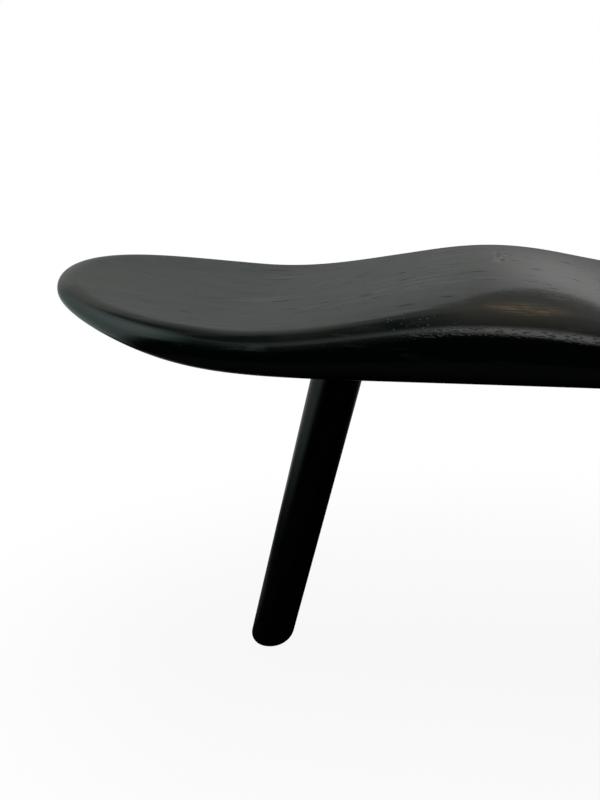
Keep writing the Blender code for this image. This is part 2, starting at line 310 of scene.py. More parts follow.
# Level of the studio over and beside the backdrop, by degrees from the back's horizon over to the front's
CEILING_ARC = (
    (-180, 0.0), (-150, 0.0), (-120, 0.05), (-60, 0.10), (0, 0.17), (32, 0.185),
    (45, 0.22), (58, 0.26), (68, 0.30), (80, 0.30), (90, 0.26), (102, 0.25),
    (112, 0.12), (128, 0.10), (140, 0.08), (150, 0.05), (162, 0.03), (180, 0.03),
)
# Share that it loses overhead at the left, by how far a direction points across and up
STUDIO_LEFT_LOSS = 0.90
LOSS_ACROSS = (-0.03, -0.24)
LOSS_UP = (0.74, 0.90)
STUDIO_TINT_TURN = (-0.32, 0.0)  # across, from the left's tint to the right's
STUDIO_LEFT_TINT = (0.88, 1.0, 0.97)
STUDIO_RIGHT_TINT = (1.0, 1.0, 0.985)
PANEL_TINT = (0.80, 1.0, 0.96)


@dataclass
class Panel:
    """A soft bright panel that reflections find, in degrees.

    Its middle is counted from the back, left negative, and its low and high edges upwards.
    """

    middle: float
    reach: float
    low: float
    high: float
    edge: float
    level: float
    tint: tuple
    flag: tuple  # normal of the plane that it ends on
    flag_edge: float


PANELS = (
    Panel(-146, 20, 46, 68, 8, 0.42, PANEL_TINT, (0.0, 0.0, 1.0), 0.25),
    Panel(172, 30, 20, 62, 12, 1.75, STUDIO_RIGHT_TINT, (0.924, 0.089, 0.371), 0.22),
)


@dataclass
class Softbox:
    """A flat soft light of one brightness that shines on the seat."""

    name: str
    place: tuple
    size: tuple
    radiance: float


SOFTBOXES = (
    Softbox("overhead", (0.0, 0.1, 2.6), (3.0, 3.0), 2.0),
    Softbox("front_right", (0.50, -1.05, 1.62), (1.0, 1.0), 1.0),
    Softbox("left", (-1.65, -0.35, 1.0), (1.2, 1.2), 0.8),
)


# Meshes


def finished_mesh(name, bm):
    bmesh.ops.remove_doubles(bm, verts=bm.verts, dist=WELD)
    bmesh.ops.recalc_face_normals(bm, faces=bm.faces)
    mesh = bpy.data.meshes.new(name)
    bm.to_mesh(mesh)
    bm.free()
    return mesh


def add_object(name, mesh, matrix):
    obj = bpy.data.objects.new(name, mesh)
    bpy.context.collection.objects.link(obj)
    obj.matrix_world = matrix
    return obj


def smooth(obj):
    obj.data.shade_smooth()
    obj.data.set_sharp_from_angle(angle=SHARP_ANGLE)


def skin_rings(bm, rings, cap_first, cap_last):
    """Quads between rings of equal count, each a list of points, with flat caps where asked."""
    loops = [[bm.verts.new(point) for point in ring] for ring in rings]
    count = len(loops[0])
    for lower, upper in zip(loops, loops[1:]):
        for i in range(count):
            j = (i + 1) % count
            bm.faces.new((lower[i], lower[j], upper[j], upper[i]))
    if cap_first:
        bm.faces.new(loops[0][::-1])
    if cap_last:
        bm.faces.new(loops[-1])


def circle(radius, height, sides):
    turns = [2 * math.pi * i / sides for i in range(sides)]
    return [Vector((radius * math.cos(turn), radius * math.sin(turn), height)) for turn in turns]


def skinned(name, rings):
    bm = bmesh.new()
    skin_rings(bm, rings, True, True)
    return finished_mesh(name, bm)


def cut_away(obj, cutters):
    """Cuts every cutter out of the object and keeps the result as its mesh."""
    for cutter in cutters:
        modifier = obj.modifiers.new(cutter.name, "BOOLEAN")
        modifier.operation = "DIFFERENCE"
        modifier.solver = "EXACT"
        modifier.object = cutter
    graph = bpy.context.evaluated_depsgraph_get()
    whole = obj.data
    obj.data = bpy.data.meshes.new_from_object(obj.evaluated_get(graph))
    obj.modifiers.clear()
    bpy.data.meshes.remove(whole)


# Form of the seat


def half_depth_at(x):
    return HALF_DEPTH * math.sqrt(max(0.0, 1 - abs(x / HALF_LENGTH) ** END_FULLNESS))


def end_reach(turn):
    """From an end of the spine to the outline, at an angle to the bench's length."""
    near, far = 0.0, HALF_LENGTH
    for _ in range(HALVINGS):
        middle = (near + far) / 2
        along = (SPINE + middle * abs(math.cos(turn))) / HALF_LENGTH
        across = middle * math.sin(turn) / HALF_DEPTH
        if along**END_FULLNESS + across**2 < 1:
            near = middle
        else:
            far = middle
    return near


def hump(x):
    return math.cos(math.pi * x / HUMP_LENGTH) ** 2 if abs(x) < HUMP_LENGTH / 2 else 0.0


def end_rise(x):
    return abs(x / HALF_LENGTH) ** END_RISE_POWER


def top_height(x, share):
    """Height of the seat at x, for a share of the way from the spine out to the outline."""
    rim = HUMP_RIM_RISE * hump(x) + END_RIM_RISE * end_rise(x)
    middle = HUMP_MIDDLE_RISE * hump(x) + END_MIDDLE_RISE * end_rise(x) - DISH_DEPTH * (1 - hump(x))
    return RIM_HEIGHT + rim + (middle - rim) * (1 - share**2)


def top_height_at(x, y):
    along = max(0.0, abs(x) - SPINE)
    reach = end_reach(math.atan2(abs(y), along)) if along else half_depth_at(x)
    return top_height(x, math.hypot(along, y) / reach)


def underside_height(x):
    return UNDERSIDE_HEIGHT + ROCKER_RISE * abs(x / (HALF_LENGTH - NOSE_UNDERCUT)) ** ROCKER_POWER


class Column:
    """One line of the seat's surface, from the spine over the rim and back to the spine below."""

    def __init__(self, spine_x, turn, reach):
        self.spine_x = spine_x
        self.direction = (math.cos(turn), math.sin(turn))
        self.reach = reach
        nose = self.direction[0] ** 2
        self.undercut = SIDE_UNDERCUT + (NOSE_UNDERCUT - SIDE_UNDERCUT) * nose

    def place(self, distance):
        return self.spine_x + self.direction[0] * distance, self.direction[1] * distance

    def points(self):
        found = []
        flat = self.reach - RIM_ROUND_WIDTH
        for i in range(TOP_STEPS):
            x, y = self.place(flat * i / TOP_STEPS)
            found.append((x, y, top_height(x, flat * i / TOP_STEPS / self.reach)))
        for i in range(RIM_STEPS + 1):
            turn = math.pi / 2 * i / RIM_STEPS
            distance = self.reach - RIM_ROUND_WIDTH * (1 - math.sin(turn))
            x, y = self.place(distance)
            drop = RIM_ROUND_HEIGHT * (1 - math.cos(turn))
            found.append((x, y, top_height(x, distance / self.reach) - drop))
        foot_x = self.place(self.reach - self.undercut)[0]
        side_top = found[-1][2]
        side_height = side_top - underside_height(foot_x)
        for i in range(1, SIDE_STEPS + 1):
            turn = math.pi / 2 * i / SIDE_STEPS
            inward = self.undercut * (1 - max(0.0, math.cos(turn)) ** (2 / SIDE_POWER))
            x, y = self.place(self.reach - inward)
            found.append((x, y, side_top - side_height * math.sin(turn) ** (2 / SIDE_POWER)))
        for i in range(1, UNDER_STEPS + 1):
            x, y = self.place((self.reach - self.undercut) * (1 - i / UNDER_STEPS))
            found.append((x, y, underside_height(x)))
        return found


def seat_columns():
    """Columns once round the seat: the right end, along the back, the left end and along the front."""
    columns = []
    for end in (1, -1):
        side_start = math.pi / 2 * (1 - end)
        quarter = END_STEPS // 2
        for i in range(-quarter, quarter):
            turn = side_start + math.pi / 2 * i / quarter
            columns.append(Column(end * SPINE, turn, end_reach(turn - side_start)))
        for i in range(STRAIGHT_STEPS):
            x = end * SPINE * (1 - 2 * i / STRAIGHT_STEPS)
            columns.append(Column(x, side_start + math.pi / 2, half_depth_at(x)))
    return columns


def whole_seat():
    lines = [column.points() for column in seat_columns()]
    bm = bmesh.new()
    skin_rings(bm, list(zip(*lines)), cap_first=False, cap_last=False)
    bmesh.ops.remove_doubles(bm, verts=bm.verts, dist=WELD)
    return bm


def saw(bm, y, keep_above):
    """Cuts the seat on a lengthwise plane and closes the sawn face."""
    normal = Vector((0, -1 if keep_above else 1, 0))
    everything = bm.verts[:] + bm.edges[:] + bm.faces[:]
    sawn = bmesh.ops.bisect_plane(
        bm, geom=everything, dist=WELD, plane_co=(0, y, 0), plane_no=normal, clear_outer=True
    )
    edges = [part for part in sawn["geom_cut"] if isinstance(part, bmesh.types.BMEdge)]
    bmesh.ops.contextual_create(bm, geom=edges)


def glue_line_y(index):
    """Where the line between board number index and the next lies, counted from the front."""
    return -HALF_DEPTH + BOARD_WIDTH * (index + 1)


def dowel_holes():
    """One cutter for all dowel holes, each a hair wider and longer than the dowel in it."""
    holes = bmesh.new()
    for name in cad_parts:
        if not name.startswith("dowel_"):
            continue
        low, high = (Vector(corner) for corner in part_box(name))
        across = Matrix.Translation((low + high) / 2) @ Matrix.Rotation(math.pi / 2, 4, "X")
        radius = (high.x - low.x) / 2 + JOINT_GAP
        half = (high.y - low.y) / 2 + JOINT_GAP
        rings = [circle(radius, end, BORE_SIDES) for end in (-half, half)]
        skin_rings(holes, [[across @ point for point in ring] for ring in rings], True, True)
    return add_object("dowel_holes", finished_mesh("dowel_holes", holes), Matrix())


def add_boards(cutters):
    boards = []
    last = len(BOARD_NAMES) - 1
    for index, name in enumerate(BOARD_NAMES):
        bm = whole_seat()
        if index > 0:
            saw(bm, glue_line_y(index - 1) + GLUE_GAP / 2, keep_above=True)
        if index < last:
            saw(bm, glue_line_y(index) - GLUE_GAP / 2, keep_above=False)
        board = add_object(f"carved_board_{name}", finished_mesh(f"carved_board_{name}", bm), Matrix())
        cut_away(board, cutters)
        smooth(board)
        board.data.materials.append(seat_wood(index))
        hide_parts(f"seat_board_{name}")
        boards.append(board)
    return boards


# Legs


class Leg:
    """Axis of one leg, from the middle of its foot up to its tenon, and the sizes along it."""

    def __init__(self, name, side, foot_y, top_y):
        self.name = name
        foot = Vector((side * LEG_FOOT_X, foot_y, 0))
        top = Vector((side * LEG_TOP_X, top_y, UNDERSIDE_HEIGHT))
        axis = (top - foot).normalized()
        tilt = axis.angle(Vector((0, 0, 1)))
        along = (Vector((1, 0, 0)) - axis * axis.x).normalized()
        turned = Matrix((along, axis.cross(along), axis)).transposed()
        self.foot = foot
        self.matrix = Matrix.Translation(foot) @ turned.to_4x4()
        self.grain_turn = Matrix((axis, along, axis.cross(along))).transposed().to_euler()
        self.upright = turned.inverted() @ Vector((0, 0, 1))
        housing = LEG_TOP_DIAMETER / 2 * math.tan(tilt) + HOUSING_LIP
        thickness = top_height_at(top.x, top.y) - UNDERSIDE_HEIGHT
        mortise_radius = TENON_DIAMETER / 2 + JOINT_GAP
        under_cover = (thickness - MORTISE_COVER) * math.cos(tilt) - mortise_radius * math.sin(tilt)
        underside = (top - foot).length
        self.shoulder = underside + housing
        self.mortise_end = underside + under_cover
        self.tenon_end = self.mortise_end - MORTISE_END_SPACE
        self.housing_mouth = underside - housing

    def radius_at(self, height):
        share = height / self.shoulder
        return (LEG_FOOT_DIAMETER + (LEG_TOP_DIAMETER - LEG_FOOT_DIAMETER) * share) / 2

    def level_ring(self, height, width_share):
        """Level section of the leg at a height above the floor, narrowed towards its axis."""
        middle = Vector((0, 0, height / self.upright.z))
        ring = []
        for point in circle(self.radius_at(middle.z), 0, LEG_SIDES):
            point.z = -point.dot(self.upright) / self.upright.z
            ring.append(middle + point * width_share)
        return ring

    def foot_rings(self):
        foot_radius = LEG_FOOT_DIAMETER / 2
        for i in range(FOOT_STEPS + 1):
            turn = math.pi / 2 * i / FOOT_STEPS
            inward = FOOT_ROUND * (1 - math.sin(turn))
            height = FOOT_ROUND * (1 - math.cos(turn))
            yield self.level_ring(height, 1 - inward / foot_radius)

    def rings(self):
        rings = list(self.foot_rings())
        tenon = TENON_DIAMETER / 2
        level = rings[-1]
        square = circle(self.radius_at(self.shoulder), self.shoulder, LEG_SIDES)
        for i in range(1, LEG_STEPS + 1):
            rings.append([low.lerp(high, i / LEG_STEPS) for low, high in zip(level, square)])
        rings.append(circle(tenon, self.shoulder, LEG_SIDES))
        rings.append(circle(tenon, self.tenon_end - TENON_CHAMFER, LEG_SIDES))
        rings.append(circle(tenon - TENON_CHAMFER, self.tenon_end, LEG_SIDES))
        return rings

    def socket_rings(self):
        housing = LEG_TOP_DIAMETER / 2 + JOINT_GAP
        mortise = TENON_DIAMETER / 2 + JOINT_GAP
        floor = self.shoulder + JOINT_GAP
        steps = (
            (housing, self.housing_mouth),
            (housing, floor),
            (mortise, floor),
            (mortise, self.mortise_end),
        )
        return [circle(radius, height, LEG_SIDES) for radius, height in steps]

    def kerf_rings(self):
        """The saw kerf in the tenon, a gap wider than the wedge that fills it."""
        tip = self.shoulder + KERF_STOP
        flare = (WEDGE_HEAD - WEDGE_TIP) / (self.mortise_end - JOINT_GAP - tip)
        width = LEG_TOP_DIAMETER / 2
        rings = []
        for height in (tip - JOINT_GAP, self.mortise_end):
            half = (WEDGE_TIP + flare * (height - tip)) / 2 + JOINT_GAP
            corners = ((-half, -width), (half, -width), (half, width), (-half, width))
            rings.append([Vector((x, y, height)) for x, y in corners])
        return rings


def all_legs():
    return (
        Leg("left", -1, 0.0, 0.0),
        Leg("front_right", 1, -PAIR_FOOT_Y, -BOARD_WIDTH),
        Leg("back_right", 1, PAIR_FOOT_Y, BOARD_WIDTH),
    )


def add_leg(leg):
    shaft = add_object(f"turned_leg_{leg.name}", skinned(f"turned_leg_{leg.name}", leg.rings()), leg.matrix)
    kerf = add_object(f"kerf_{leg.name}", skinned(f"kerf_{leg.name}", leg.kerf_rings()), leg.matrix)
    cut_away(shaft, [kerf])
    bpy.data.objects.remove(kerf)
    shaft.data.transform(leg.matrix)
    shaft.matrix_world = Matrix()
    smooth(shaft)
    shaft.data.materials.append(leg_wood(leg))
    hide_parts(f"leg_{leg.name}")
    return shaft


# Materials


class Graph:
    """A node tree with short ways to add and join its nodes."""

    def __init__(self, tree):
        self.tree = tree
        tree.nodes.clear()

    def add(self, kind, values, **settings):
        """A node of this kind: values go to its inputs by name or number, as constants or links."""
        node = self.tree.nodes.new(kind)
        for name, value in settings.items():
            setattr(node, name, value)
        for key, value in values.items():
            if isinstance(value, bpy.types.NodeSocket):
                self.tree.links.new(value, node.inputs[key])
            else:
                node.inputs[key].default_value = value
        return node

    def math(self, operation, a, b=0.0, c=0.0):
        return self.add("ShaderNodeMath", {0: a, 1: b, 2: c}, operation=operation).outputs[0]

    def span(self, value, low, high, to_low=0.0, to_high=1.0):
        """Value carried smoothly from one range to another and held at its ends."""
        values = {"Value": value, "From Min": low, "From Max": high, "To Min": to_low, "To Max": to_high}
        return self.add("ShaderNodeMapRange", values, interpolation_type="SMOOTHSTEP").outputs[0]

    def blend(self, factor, first, second, blend_type="MIX"):
        node = self.add("ShaderNodeMix", {}, data_type="RGBA", blend_type=blend_type)
        sockets = {"Factor_Float": factor, "A_Color": first, "B_Color": second}
        for socket in node.inputs:
            value = sockets.get(socket.identifier)
            if value is None:
                continue
            if isinstance(value, bpy.types.NodeSocket):
                self.tree.links.new(value, socket)
            else:
                socket.default_value = value
        return next(socket for socket in node.outputs if socket.identifier == "Result_Color")

    def dot(self, first, second):
        values = {0: first, 1: second}
        return self.add("ShaderNodeVectorMath", values, operation="DOT_PRODUCT").outputs["Value"]

    def scaled(self, vector, factor):
        values = {0: vector, "Scale": factor}
        return self.add("ShaderNodeVectorMath", values, operation="SCALE").outputs[0]

    def stretched(self, vector, scale, shift=(0.0, 0.0, 0.0)):
        values = {"Vector": vector, "Location": shift, "Scale": scale}
        return self.add("ShaderNodeMapping", values).outputs[0]

    def noise(self, vector, scale, detail, roughness=0.5):
        values = {"Vector": vector, "Scale": scale, "Detail": detail, "Roughness": roughness}
        return self.add("ShaderNodeTexNoise", values).outputs[0]


def new_material(name):
    material = bpy.data.materials.new(name)
    material.use_nodes = True
    return material, Graph(material.node_tree)


def rgb(red, green, blue):
    return (red, green, blue, 1.0)


def grain_noise(graph, along, width, length, detail, roughness=0.5):
    """Noise in cells this wide, and this long down the grain."""
    scale = (1 / length, 1 / width, 1 / width)
    return graph.noise(graph.stretched(along, scale), 1.0, detail, roughness)


def plan_noise(graph, along, width, length, detail):
    """The same for marks that lie on the seat as it is worked, seen from above."""
    scale = (1 / length, 1 / width, 1 / length)
    return graph.noise(graph.stretched(along, scale), 1.0, detail)


def wood_grain(graph, along):
    """Broad streaks, fine fibres and pores of wood whose grain runs down X, each from 0 to 1."""
    streaks = grain_noise(graph, along, STREAK_WIDTH, STREAK_LENGTH, detail=3.0, roughness=0.55)
    fibres = grain_noise(graph, along, FIBRE_WIDTH, FIBRE_LENGTH, detail=3.0)
    cells = grain_noise(graph, along, PORE_WIDTH, PORE_LENGTH, detail=1.0)
    zones = grain_noise(graph, along, PORE_ZONE_WIDTH, PORE_ZONE_LENGTH, detail=2.0)
    pores = graph.math("MULTIPLY", graph.span(cells, *PORE_SPAN), graph.span(zones, *PORE_ZONE_SPAN))
    return streaks, fibres, pores


def raised(graph, heights):
    """Surface normal from the sum of heights, each a value from 0 to 1 and its size in millimetres."""
    total = 0.0
    for value, size in heights:
        total = graph.math("MULTIPLY_ADD", value, size, total)
    values = {"Height": total, "Distance": MILLIMETRE, "Strength": 1.0}
    return graph.add("ShaderNodeBump", values).outputs[0]


def towards_rim(graph, place):
    """0 on the seat's middle, 1 on its outline."""
    parts = graph.add("ShaderNodeSeparateXYZ", {0: place}).outputs
    along = graph.math("ABSOLUTE", graph.math("DIVIDE", parts["X"], HALF_LENGTH))
    across = graph.math("ABSOLUTE", graph.math("DIVIDE", parts["Y"], HALF_DEPTH))
    return graph.math("ADD", graph.math("POWER", along, END_FULLNESS), graph.math("POWER", across, 2.0))


def nearness(graph, place, reach, middle=WORN_MIDDLE):
    """1 in the middle of the wear on the hump's front, or of another place, falling to 0 at its reach."""
    centred = graph.add("ShaderNodeVectorMath", {0: place, 1: middle}, operation="SUBTRACT").outputs[0]
    shares = [1 / size for size in reach]
    scaled = graph.add("ShaderNodeVectorMath", {0: centred, 1: shares}, operation="MULTIPLY").outputs[0]
    distance = graph.add("ShaderNodeVectorMath", {0: scaled}, operation="LENGTH").outputs["Value"]
    return graph.span(distance, 1.0, MARK_CORE)


def facing_up(graph):
    normal = graph.add("ShaderNodeNewGeometry", {}).outputs["Normal"]
    return graph.add("ShaderNodeSeparateXYZ", {0: normal}).outputs["Z"]


def handled_rim(graph, place):
    """Where hands have opened the pores on the rim of the hump: 1 there, 0 elsewhere."""
    parts = graph.add("ShaderNodeSeparateXYZ", {0: place}).outputs
    from_middle = graph.math("ABSOLUTE", graph.math("SUBTRACT", parts["X"], WORN_MIDDLE[0]))
    outside = graph.span(towards_rim(graph, place), *HANDLED_RIM)
    on_rim = graph.math("MULTIPLY", outside, graph.span(facing_up(graph), *RIM_FACING))
    return graph.math("MULTIPLY", graph.span(from_middle, *HANDLED_REACH), on_rim)


def sat_on(graph, place):
    """1 on the hump and the hollows, less towards the ends, where the finish has stayed whole."""
    along = graph.math("ABSOLUTE", graph.add("ShaderNodeSeparateXYZ", {0: place}).outputs["X"])
    return graph.span(along, *SAT_ON_REACH, END_WEAR, 1.0)


def worn_lines(graph, along):
    """Lines down the grain, gathered in fields, where the stain has worn to grey."""
    lines = plan_noise(graph, along, WORN_LINE_WIDTH, WORN_LINE_LENGTH, detail=2.0)
    fields = plan_noise(graph, along, WORN_FIELD_WIDTH, WORN_FIELD_LENGTH, detail=2.0)
    return graph.math("MULTIPLY", graph.span(lines, *WORN_LINE_SPAN), graph.span(fields, *WORN_FIELD_SPAN))


def bare_streaks(graph, place, along):
    """Streaks of brown wood that show where the stain has gone, in the middle of the wear."""
    lines = grain_noise(graph, along, BARE_WIDTH, BARE_LENGTH, detail=3.0, roughness=0.6)
    return graph.math("MULTIPLY", nearness(graph, place, BARE_REACH), graph.span(lines, *BARE_SPAN))


def finish_nibs(graph, place):
    """Grains of dust caught in the finish where the hump's rim runs down into the hollow; their pale colour
    is partly a painted glint.
    """
    grains = graph.noise(place, 1 / NIB_SIZE, detail=1.0)
    near = nearness(graph, place, NIB_REACH, NIB_MIDDLE)
    return graph.math("MULTIPLY", near, graph.span(grains, *NIB_SPAN))


def crest_specks(graph, place):
    """Light and dull specks of a mark on the crest of the hump, each from 0 to 1; the light specks are partly
    a painted highlight on the crest.
    """
    grains = plan_noise(graph, place, CREST_SPECK_WIDTH, CREST_SPECK_LENGTH, detail=1.0)
    near = nearness(graph, place, CREST_MARK_REACH, CREST_MARK_MIDDLE)
    light = graph.math("MULTIPLY", near, graph.span(grains, *LIGHT_SPECK_SPAN))
    dull = graph.math("MULTIPLY", near, graph.span(grains, *DULL_SPECK_SPAN))
    return light, dull


def add_finish(graph, colour, roughness, ior, normal):
    """The glossy black surface and the material's output."""
    values = {"Base Color": colour, "Roughness": roughness, "IOR": ior, "Normal": normal}
    shader = graph.add("ShaderNodeBsdfPrincipled", values)
    graph.add("ShaderNodeOutputMaterial", {"Surface": shader.outputs[0]})


def seat_marks(graph, place, along):
    """Grain, wear and dirt of a seat board by name, each from 0 to 1, with a painted glint and a painted
    highlight among the specks.
    """
    streaks, fibres, pores = wood_grain(graph, along)
    handled = handled_rim(graph, place)
    upward = graph.span(facing_up(graph), *UPWARD_FACING)
    dashes = grain_noise(graph, along, DASH_WIDTH, DASH_LENGTH, detail=2.0)
    checks = grain_noise(graph, along, CHECK_WIDTH, CHECK_LENGTH, detail=1.0)
    mottle = grain_noise(graph, along, MOTTLE_WIDTH, MOTTLE_LENGTH, detail=2.0)
    highlight_specks, dull_specks = crest_specks(graph, place)
    return {
        "streaks": streaks,
        "fibres": fibres,
        "pores": graph.math("MULTIPLY", pores, graph.span(handled, 0.0, 1.0, PORE_SHOW, 1.0)),
        "clouds": grain_noise(graph, along, CLOUD_WIDTH, CLOUD_LENGTH, detail=2.0),
        "dashes": graph.math("MULTIPLY", graph.span(dashes, *DASH_SPAN), sat_on(graph, place)),
        "checks": graph.math("MULTIPLY", graph.span(checks, *CHECK_SPAN), upward),
        "mottle": graph.math("MULTIPLY", mottle, handled),
        "bare": bare_streaks(graph, place, along),
        "nibs": finish_nibs(graph, place),
        "highlight_specks": highlight_specks,
        "dull_specks": dull_specks,
    }


def seat_colour(graph, place, along, marks):
    """Black stain, then what lies over it or shows through it, layer by layer. The lighter clouds and streaks
    lie only on upward faces, so the sides stay deeper black: partly a worn top, partly painted shade on the
    sides.
    """
    upward = graph.span(facing_up(graph), *UPWARD_FACING)
    level = graph.span(facing_up(graph), *LEVEL_FACING)
    seated = graph.math("MULTIPLY", level, sat_on(graph, place))
    layers = (
        # Painted shade, partly a worn top: clouds and streaks only on upward faces keep the sides deeper
        # black
        (graph.math("MULTIPLY", graph.span(marks["clouds"], *CLOUD_SPAN), upward), STAIN_WARM),
        (graph.math("MULTIPLY", graph.span(marks["streaks"], *STREAK_SPAN), upward), STAIN_THIN),
        (graph.math("MULTIPLY", worn_lines(graph, along), seated), STAIN_WORN),
        (nearness(graph, place, RUBBED_REACH), STAIN_RUBBED),
        (nearness(graph, place, BROWN_REACH), STAIN_BROWN),
        (marks["bare"], BARE_WOOD),
        # Light specks on the crest: a mark, partly a painted highlight
        (marks["highlight_specks"], CREST_SPECK_AND_HIGHLIGHT),
        # Dust grains, whose pale colour is partly a painted glint
        (marks["nibs"], DUST_AND_GLINT_GRAIN),
        (graph.math("MAXIMUM", marks["pores"], marks["checks"]), PORE_COLOUR),
    )
    colour = STAIN_DEEP
    for share, stain in layers:
        colour = graph.blend(share, colour, stain)
    return colour


def seat_roughness(graph, place, marks):
    """Gloss of the finish, duller in its marks and polished on the hump."""
    roughness = graph.span(marks["clouds"], *GLOSS_SPAN, *SEAT_GLOSS)
    changes = (
        (marks["dashes"], DASH_DULLER),
        (marks["pores"], PORE_DULLER),
        (marks["bare"], BARE_DULLER),
        (marks["checks"], CHECK_DULLER),
        (marks["dull_specks"], SPECK_DULLER),
        (nearness(graph, place, POLISH_REACH), -POLISH_SHINE),
    )
    for share, change in changes:
        roughness = graph.math("MULTIPLY_ADD", share, change, roughness)
    return roughness


def seat_wood(index):
    """Black-stained wood of one seat board, worn on the front of the hump."""
    material, graph = new_material(f"black_seat_wood_{BOARD_NAMES[index]}")
    place = graph.add("ShaderNodeTexCoord", {}).outputs["Object"]
    along = graph.stretched(place, (1.0, 1.0, 1.0), [index * step for step in BOARD_SHIFT])
    marks = seat_marks(graph, place, along)
    heights = (
        (marks["streaks"], STREAK_RELIEF),
        (marks["fibres"], FIBRE_RELIEF),
        (marks["pores"], PORE_RELIEF),
        (marks["checks"], CHECK_RELIEF),
        (marks["mottle"], MOTTLE_RELIEF),
        (marks["nibs"], NIB_RELIEF),
    )
    colour = seat_colour(graph, place, along, marks)
    roughness = seat_roughness(graph, place, marks)
    add_finish(graph, colour, roughness, SEAT_IOR, raised(graph, heights))
    return material


def leg_wood(leg):
    """Black-stained wood with its grain down the leg."""
    material, graph = new_material(f"black_leg_wood_{leg.name}")
    place = graph.add("ShaderNodeTexCoord", {}).outputs["Object"]
    values = {"Vector": place, "Location": leg.foot, "Rotation": leg.grain_turn}
    along = graph.add("ShaderNodeMapping", values, vector_type="TEXTURE").outputs[0]
    streaks, fibres, pores = wood_grain(graph, along)
    colour = graph.blend(graph.span(streaks, *LEG_STREAK_SPAN), LEG_DEEP, LEG_THIN)
    colour = graph.blend(pores, colour, PORE_COLOUR)
    roughness = graph.span(streaks, *LEG_GLOSS_SPAN, *LEG_GLOSS)
    heights = ((streaks, LEG_STREAK_RELIEF), (fibres, LEG_FIBRE_RELIEF), (pores, LEG_PORE_RELIEF))
    add_finish(graph, colour, roughness, LEG_IOR, raised(graph, heights))
    return material


def pale_wood(name, light, dark):
    material, graph = new_material(name)
    place = graph.add("ShaderNodeTexCoord", {}).outputs["Object"]
    grain = graph.noise(graph.stretched(place, PALE_GRAIN_SCALE), 1.0, detail=5.0)
    colour = graph.blend(grain, dark, light)
    shader = graph.add("ShaderNodeBsdfPrincipled", {"Base Color": colour, "Roughness": PALE_ROUGHNESS})
    graph.add("ShaderNodeOutputMaterial", {"Surface": shader.outputs[0]})
    return material


# Studio


def floor_material():
    material, graph = new_material("studio_floor")
    path = graph.add("ShaderNodeLightPath", {})
    place = graph.add("ShaderNodeTexCoord", {}).outputs["Object"]
    distance = graph.add("ShaderNodeVectorMath", {0: place}, operation="LENGTH").outputs["Value"]
    seen = graph.math("MAXIMUM", path.outputs["Is Camera Ray"], path.outputs["Is Transmission Ray"])
    # Painted shadow under the bench: the floor's tone for all but the camera, darkest in the middle
    tone = graph.span(distance, *FLOOR_PAINTED_SHADOW_REACH, *FLOOR_PAINTED_SHADOW_TONE)
    parts = graph.add("ShaderNodeSeparateXYZ", {0: place}).outputs
    # Painted light on the floor behind the left leg, for all but the camera
    behind = graph.span(parts["Y"], *FLOOR_BACK_REACH, 0.0, FLOOR_PAINTED_LIGHT_TONE)
    tone = graph.math("MULTIPLY_ADD", graph.span(parts["X"], *FLOOR_LEFT_REACH), behind, tone)
    paper = graph.add("ShaderNodeBsdfDiffuse", {"Color": graph.blend(seen, tone, FLOOR_PAPER)})
    white = graph.add("ShaderNodeEmission", {"Color": rgb(1.0, 1.0, 1.0), "Strength": 1.0})
    share = graph.math("MULTIPLY", seen, graph.span(distance, *FLOOR_WHITE_REACH, *FLOOR_WHITE_SHARE))
    surface = graph.add("ShaderNodeMixShader", {0: share, 1: paper.outputs[0], 2: white.outputs[0]})
    graph.add("ShaderNodeOutputMaterial", {"Surface": surface.outputs[0]})
    return material


def add_floor():
    bm = bmesh.new()
    rings = [circle(FLOOR_RADIUS * share, 0.0, FLOOR_STEPS) for share in FLOOR_RINGS]
    skin_rings(bm, rings, True, False)
    floor = add_object("studio_floor", finished_mesh("studio_floor", bm), Matrix())
    floor.data.materials.append(floor_material())


def between_stops(graph, value, stops):
    """Grey level or colour between stops along a value."""
    first, last = stops[0][0], stops[-1][0]
    values = {"Value": value, "From Min": first, "From Max": last, "To Min": 0.0, "To Max": 1.0}
    share = graph.add("ShaderNodeMapRange", values).outputs[0]
    ramp = graph.add("ShaderNodeValToRGB", {"Fac": share})
    elements = ramp.color_ramp.elements
    while len(elements) > 1:
        elements.remove(elements[0])
    for number, (place, level) in enumerate(stops):
        position = (place - first) / (last - first)
        element = elements.new(position) if number else elements[0]
        element.position = position
        element.color = rgb(*(level if isinstance(level, tuple) else (level, level, level)))
    return ramp.outputs["Color"]


def backdrop_material():
    """Glow of the backdrop, brighter upwards and to the right, up to its leaning top edge."""
    material, graph = new_material("studio_backdrop")
    place = graph.add("ShaderNodeNewGeometry", {}).outputs["Position"]
    parts = graph.add("ShaderNodeSeparateXYZ", {0: place}).outputs
    height = graph.math("SUBTRACT", parts["Z"], RIM_HEIGHT)
    left, right, far = (
        between_stops(graph, height, stops) for stops in (BACKDROP_LEFT, BACKDROP_RIGHT, BACKDROP_FAR_LEFT)
    )
    level = graph.blend(graph.span(parts["X"], *BACKDROP_TURN), left, right)
    level = graph.blend(graph.span(parts["X"], *BACKDROP_FAR_TURN), level, far)
    tint = between_stops(graph, parts["X"], BACKDROP_TINTS)
    strength = graph.span(parts["X"], *BACKDROP_END, 1.0, 1.0 + BACKDROP_END_GAIN)
    glow = graph.add(
        "ShaderNodeEmission", {"Color": graph.blend(1.0, level, tint, "MULTIPLY"), "Strength": strength}
    )
    clear = graph.add("ShaderNodeBsdfTransparent", {})
    over = graph.math("SUBTRACT", height, between_stops(graph, parts["X"], BACKDROP_EDGE))
    under = graph.span(over, BACKDROP_SOFT, -BACKDROP_SOFT)
    surface = graph.add("ShaderNodeMixShader", {0: under, 1: clear.outputs[0], 2: glow.outputs[0]})
    graph.add("ShaderNodeOutputMaterial", {"Surface": surface.outputs[0]})
    return material


